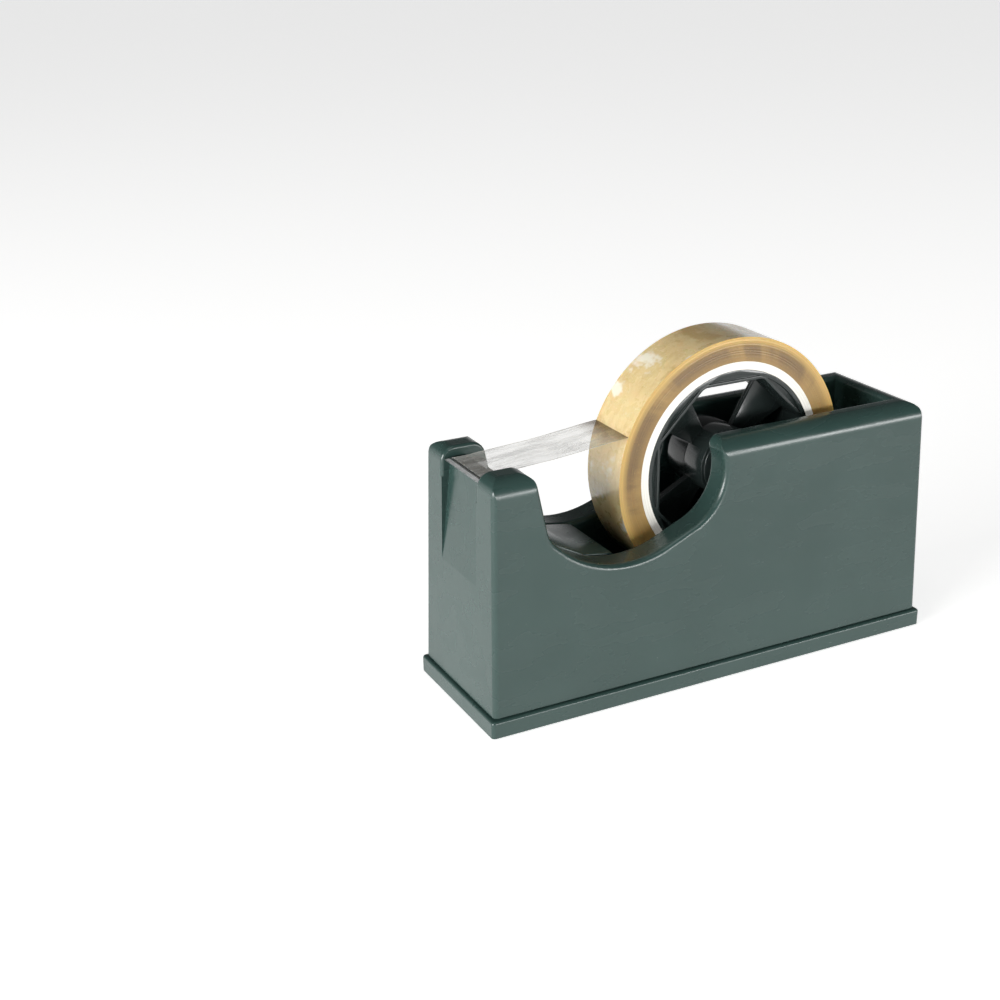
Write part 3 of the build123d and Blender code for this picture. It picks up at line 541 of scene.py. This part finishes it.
def free_film_piece():
    """Tape pulled from the roll over the ribs, cut in a zigzag by the teeth."""
    steps_long, per_tooth = FILM_STEPS, 2
    steps_wide = FILM_TEETH * per_tooth
    work = bmesh.new()
    layers = []
    for side in (0, 1):
        grid = []
        for i in range(steps_long + 1):
            share = i / steps_long
            middle = film_line(share)
            row = []
            for j in range(steps_wide + 1):
                y = HALF_TAPE * (2 * j / steps_wide - 1)
                free = sin(pi * min(1.0, share * 1.08)) if share < 0.92 else 0.0
                cup = FILM_CUP * free * ((y / HALF_TAPE) ** 2 - 0.4)
                wave = noise.noise(Vector((share * 9, y / PULL_STREAK, 3.0)))
                ripple = FILM_RIPPLE * free * wave
                point = middle + Vector((0, y, cup + ripple + side * FILM_THICKNESS))
                if i == steps_long and j % per_tooth:
                    point.x += 0.8 * TOOTH_DEPTH
                row.append(work.verts.new(point))
            grid.append(row)
        layers.append(grid)
    low, high = layers
    for i in range(steps_long):
        for j in range(steps_wide):
            work.faces.new((low[i][j], low[i + 1][j], low[i + 1][j + 1], low[i][j + 1]))
            work.faces.new((high[i][j], high[i][j + 1], high[i + 1][j + 1], high[i + 1][j]))
    for i in range(steps_long):
        work.faces.new((low[i][0], high[i][0], high[i + 1][0], low[i + 1][0]))
        work.faces.new((low[i][-1], low[i + 1][-1], high[i + 1][-1], high[i][-1]))
    for j in range(steps_wide):
        work.faces.new((low[0][j], low[0][j + 1], high[0][j + 1], high[0][j]))
        work.faces.new((low[-1][j], high[-1][j], high[-1][j + 1], low[-1][j + 1]))
    bmesh.ops.recalc_face_normals(work, faces=work.faces)
    mesh = mesh_from(work, "free_film")
    made = link_mesh("free_film", mesh, [free_film])
    smooth(mesh, 40)
    return finish_piece(made, "hub", ["tape_strip"])


tape_roll()
tape_core()
free_film_piece()


# ---- cutter --------------------------------------------------------------------------
def cutter_blade():
    """Strip with a row of teeth, each ground to a knife edge from above."""
    half = blade_high.y
    pitch = 2 * half / TOOTH_COUNT
    depth = (blade_high.x - blade_low.x) / cos(BLADE_TILT) - 0.25 * MM
    tip = Vector((blade_low.x + BLADE_THICKNESS * sin(BLADE_TILT), 0, blade_high.z))
    back = Vector((cos(BLADE_TILT), 0, -sin(BLADE_TILT)))
    down = Vector((-sin(BLADE_TILT), 0, -cos(BLADE_TILT)))
    outline = []
    for i in range(TOOTH_COUNT):
        outline.append((TOOTH_DEPTH, -half + i * pitch))
        outline.append((0.0, -half + (i + 0.5) * pitch))
    outline.append((TOOTH_DEPTH, half))
    work = bmesh.new()

    def corner(along, y, level):
        return work.verts.new(tip + back * along + down * level + Vector((0, y, 0)))

    edge = [corner(a, y, BLADE_THICKNESS) for a, y in outline]
    grind = [corner(a + TOOTH_GRIND, y, 0.0) for a, y in outline]
    top = [corner(depth, y, 0.0) for a, y in outline]
    base = [corner(depth, y, BLADE_THICKNESS) for a, y in outline]
    rows = [edge, grind, top, base]
    for k, (first, second) in enumerate(zip(rows, rows[1:] + rows[:1])):
        for j in range(len(outline) - 1):
            face = work.faces.new((first[j], second[j], second[j + 1], first[j + 1]))
            face.material_index = min(k, 1)
    for j in (0, -1):
        work.faces.new([row[j] for row in rows])
    bmesh.ops.recalc_face_normals(work, faces=work.faces)
    mesh = mesh_from(work, "serrated_blade")
    made = link_mesh("serrated_blade", mesh, [blade_steel, blade_back])
    return finish_piece(made, "root", ["cutter_blade"])


cutter_blade()
softened("blade_carrier", "blade_block", 0.25 * MM, wheel_abs, "root")


# ---- screws and feet, repeated by one node tree ---------------------------------------------
def copies_tree():
    """Geometry Nodes: a piece on every point, each turned at random about Z, made real."""
    tree = bpy.data.node_groups.new("copies_on_points", "GeometryNodeTree")
    inputs = {
        "Places": "Geometry", "Piece": "Object", "Largest Turn": "Float",
        "Seed": "Int", "Finish": "Material",
    }
    for label, kind in inputs.items():
        tree.interface.new_socket(label, in_out="INPUT", socket_type="NodeSocket" + kind)
    tree.interface.new_socket("Copies", in_out="OUTPUT", socket_type="NodeSocketGeometry")
    given = add(tree, "NodeGroupInput").outputs
    source = add(tree, "GeometryNodeObjectInfo", inputs={"Object": given["Piece"]})
    piece = source.outputs["Geometry"]
    turn = add(
        tree,
        "FunctionNodeRandomValue",
        {"data_type": "FLOAT"},
        {3: given["Largest Turn"], "Seed": given["Seed"]},
    ).outputs[1]
    rotation = add(tree, "ShaderNodeCombineXYZ", inputs={2: turn}).outputs[0]
    placed = add(
        tree,
        "GeometryNodeInstanceOnPoints",
        inputs={"Points": given["Places"], "Instance": piece, "Rotation": rotation},
    ).outputs[0]
    real = add(tree, "GeometryNodeRealizeInstances", inputs={0: placed}).outputs[0]
    done = add(
        tree, "GeometryNodeSetMaterial", inputs={"Geometry": real, "Material": given["Finish"]}
    ).outputs[0]
    add(tree, "NodeGroupOutput", inputs={0: done})
    return tree


COPIES = copies_tree()


def set_copies(name, piece, places, largest_turn, finish):
    """Copies of a piece at these places, joined in one plain mesh."""
    points = bpy.data.meshes.new(name)
    points.from_pydata([tuple(p) for p in places], [], [])
    made = link_mesh(name, points, [])
    nodes = made.modifiers.new("copies", "NODES")
    nodes.node_group = COPIES
    given = {"Piece": piece, "Largest Turn": largest_turn, "Seed": SEED, "Finish": finish}
    for item in COPIES.interface.items_tree:
        if item.in_out == "INPUT" and item.name in given:
            nodes[item.identifier] = given[item.name]
    baked(made)
    bpy.data.objects.remove(piece)
    return made


def islands(node):
    """Boxes of the separate solids in a CAD node."""
    work = bmesh.new()
    work.from_mesh(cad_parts[node].data)
    bmesh.ops.remove_doubles(work, verts=work.verts, dist=WELD)
    left, boxes = set(work.verts), []
    while left:
        queue, group = [left.pop()], []
        while queue:
            vert = queue.pop()
            group.append(vert.co.copy())
            for edge in vert.link_edges:
                other = edge.other_vert(vert)
                if other in left:
                    left.remove(other)
                    queue.append(other)
        low = Vector([min(p[i] for p in group) for i in range(3)])
        high = Vector([max(p[i] for p in group) for i in range(3)])
        boxes.append((low, high))
    work.free()
    return sorted(boxes, key=lambda pair: tuple(pair[0]))


def cross_cutter(reach, depth):
    """Tapered cross that cuts the driver recess, reaching up from just under the origin."""
    work = bmesh.new()
    for turned in (0, 1):
        corners = []
        for level, share in ((-0.2 * depth, 1.0), (depth, 0.45)):
            for x, y in ((-1, -1), (1, -1), (1, 1), (-1, 1)):
                along, across = x * reach * share, y * reach * 0.24 * share
                spot = (across, along, level) if turned else (along, across, level)
                corners.append(work.verts.new(spot))
        work.faces.new(corners[3::-1])
        work.faces.new(corners[4:])
        for i in range(4):
            k = (i + 1) % 4
            work.faces.new((corners[i], corners[k], corners[4 + k], corners[4 + i]))
    bmesh.ops.recalc_face_normals(work, faces=work.faces)
    mesh = mesh_from(work, "cross_cutter")
    return link_mesh("cross_cutter", mesh, [])


def pan_screw(head_radius, head_height, shank_radius, length):
    """Pan head screw on its head at the origin, with a rolled thread and a cross recess."""
    pitch, thread, rows, steps = 0.55 * shank_radius, 0.16 * shank_radius, 6, 24
    shank_rows = int((length - head_height) / pitch * rows)
    profile = [(0.0, 0.0), (0.5 * head_radius, 0.0), (0.8 * head_radius, 0.06 * head_height)]
    profile += [(0.94 * head_radius, 0.25 * head_height), (head_radius, 0.6 * head_height)]
    profile += [(head_radius, head_height), (shank_radius, head_height)]
    profile += [(shank_radius, head_height + pitch * i / rows) for i in range(1, shank_rows)]
    profile += [(0.55 * shank_radius, length), (0.0, length)]

    def threaded(turn, radius, height):
        if abs(radius - shank_radius) < 1e-9 and height > head_height * 1.01:
            phase = (height / pitch + turn / (2 * pi)) % 1.0
            radius = shank_radius - thread * abs(2 * phase - 1)
        return radius, height

    mesh = lathe("pan_screw", profile, steps, Vector((0, 0, 0)), "Z", threaded)
    made = link_mesh("pan_screw", mesh, [])
    cutter = cross_cutter(0.52 * head_radius, 0.62 * head_height)
    recess = made.modifiers.new("recess", "BOOLEAN")
    recess.operation = "DIFFERENCE"
    recess.solver = "EXACT"
    recess.object = cutter
    baked(made)
    bpy.data.objects.remove(cutter)
    smooth(made.data, 32)
    return made


def screw_set(node, name, head_share):
    """The screws of a CAD node, each on its own place."""
    boxes = islands(node)
    low, high = boxes[0]
    head_radius = (high.x - low.x) / 2
    screw = pan_screw(head_radius, head_share * head_radius, 0.52 * head_radius, high.z - low.z)
    places = [Vector(((a.x + b.x) / 2, (a.y + b.y) / 2, a.z)) for a, b in boxes]
    made = set_copies(name, screw, places, pi / 2, screw_zinc)
    smooth(made.data, 32)
    return finish_piece(made, "root", [node])


def rubber_feet():
    """Four moulded feet with two grip rings under each."""
    nodes = ["foot_" + side for side in ("front_left", "front_right", "rear_left", "rear_right")]
    low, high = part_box(nodes[0])
    radius, height = (high.x - low.x) / 2, high.z - low.z
    profile = [(0.0, 0.35 * height), (0.12 * radius, 0.3 * height), (0.2 * radius, 0.03 * height)]
    for ring in (0.42, 0.7):
        profile += [((ring - 0.05) * radius, 0.0), ((ring - 0.03) * radius, 0.16 * height)]
        profile += [((ring + 0.03) * radius, 0.16 * height), ((ring + 0.05) * radius, 0.0)]
    for i in range(6):
        turn = pi / 2 * i / 5
        profile.append((radius * (0.9 + 0.1 * sin(turn)), 0.2 * height * (1 - cos(turn))))
    profile += [(radius, height), (0.0, height)]
    foot = link_mesh("foot", lathe("foot", profile, 64, Vector((0, 0, 0)), "Z"), [])
    boxes = [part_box(node) for node in nodes]
    places = [Vector(((a.x + b.x) / 2, (a.y + b.y) / 2, a.z)) for a, b in boxes]
    made = set_copies("rubber_feet", foot, places, 0.0, rubber)
    smooth(made.data, 40)
    return finish_piece(made, "root", nodes)


screw_set("base_screws", "base_plate_screws", 0.5)
screw_set("ballast_screws", "weight_screws", 0.5)
screw_set("carrier_screws", "blade_block_screws", 0.65)
screw_set("rest_screws", "tape_rest_screws", 0.65)
rubber_feet()


# ---- shell, base, ramp, wheel, hub and weights -------------------------------------------------
def finished_node(node, material):
    """A CAD node that keeps its shape and gets its finish."""
    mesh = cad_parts[node].data
    mesh.materials.clear()
    mesh.materials.append(material)


finished_node("body_shell", shell_abs)
finished_node("base_plate", shell_abs)
softened("saddle_ramp", "saddle_panel", 0.4 * MM, shell_abs, "root")
softened("tape_rest", "ribbed_tape_rest", 0.08 * MM, wheel_abs, "root")
for side in ("left", "right"):
    softened("wheel_half_" + side, "wheel_" + side, 0.25 * MM, wheel_abs, "wheel")
    softened("hub_half_" + side, "hub_" + side, 0.25 * MM, wheel_abs, "hub")
softened("ballast_front_block", "front_weight", 0.7 * MM, iron, "root")
softened("ballast_slab", "floor_weight", 0.7 * MM, iron, "root")


# ---- studio ------------------------------------------------------------------------------
LIT_POINT = (0.0, 0.0, 0.06)


def studio_floor():
    """Wide pale floor."""
    work = bmesh.new()
    bmesh.ops.create_grid(work, x_segments=8, y_segments=8, size=14)
    mesh = mesh_from(work, "studio_floor")
    floor = link_mesh("studio_floor", mesh, [studio_paper()])


def softbox(name, place, size, power):
    """Oblong white area light that looks at the middle of the object."""
    data = bpy.data.lights.new(name, "AREA")
    data.shape = "RECTANGLE"
    data.size, data.size_y = size
    data.energy = power
    lamp = bpy.data.objects.new(name, data)
    bpy.context.scene.collection.objects.link(lamp)
    lamp.location = place
    toward = Vector(LIT_POINT) - Vector(place)
    lamp.rotation_euler = toward.to_track_quat("-Z", "Y").to_euler()


def studio_lights():
    """Low key at the cutter end, a long softbox at the near side, and air dark overhead."""
    softbox("key", place=(-1.6, -0.4, 0.38), size=(1.0, 0.7), power=34)
    softbox("long", place=(0.75, -1.6, 0.2), size=(1.6, 0.28), power=19)
    softbox("top", place=(-0.2, -0.5, 1.5), size=(0.9, 0.5), power=3)
    world = bpy.data.worlds.new("studio_air")
    world.use_nodes = True
    tree = world.node_tree
    toward = add(tree, "ShaderNodeTexCoord").outputs["Generated"]
    height = add(tree, "ShaderNodeSeparateXYZ", inputs={0: toward}).outputs[2]
    background = tree.nodes["Background"]
    background.inputs["Color"].default_value = linear("F4F5F6")
    tree.links.new(ramped(tree, height, 0.06, 0.24, 1.0, 0.1), background.inputs["Strength"])
    bpy.context.scene.world = world
    bpy.context.scene.view_settings.view_transform = "Standard"


def studio_camera():
    """Three-quarter view from the cutter end, a little tilted."""
    azimuth, elevation, tilt = radians(-26.5715), radians(21.7518), radians(-0.98175)
    aim = Vector((-80.5, 0.0, 81.5)) * MM
    distance = 578.6 * MM
    back = Vector((sin(azimuth) * cos(elevation), -cos(azimuth) * cos(elevation), sin(elevation)))
    data = bpy.data.cameras.new("studio_camera")
    data.lens = 55.763
    data.sensor_width = 36.0
    data.clip_start = 0.01
    data.clip_end = 60.0
    camera = bpy.data.objects.new("studio_camera", data)
    bpy.context.scene.collection.objects.link(camera)
    level = (-back).to_track_quat("-Z", "Y").to_matrix()
    turned = level @ Matrix.Rotation(tilt, 3, "Z")
    camera.matrix_world = Matrix.Translation(aim + back * distance) @ turned.to_4x4()
    bpy.context.scene.camera = camera


studio_floor()
studio_lights()
studio_camera()
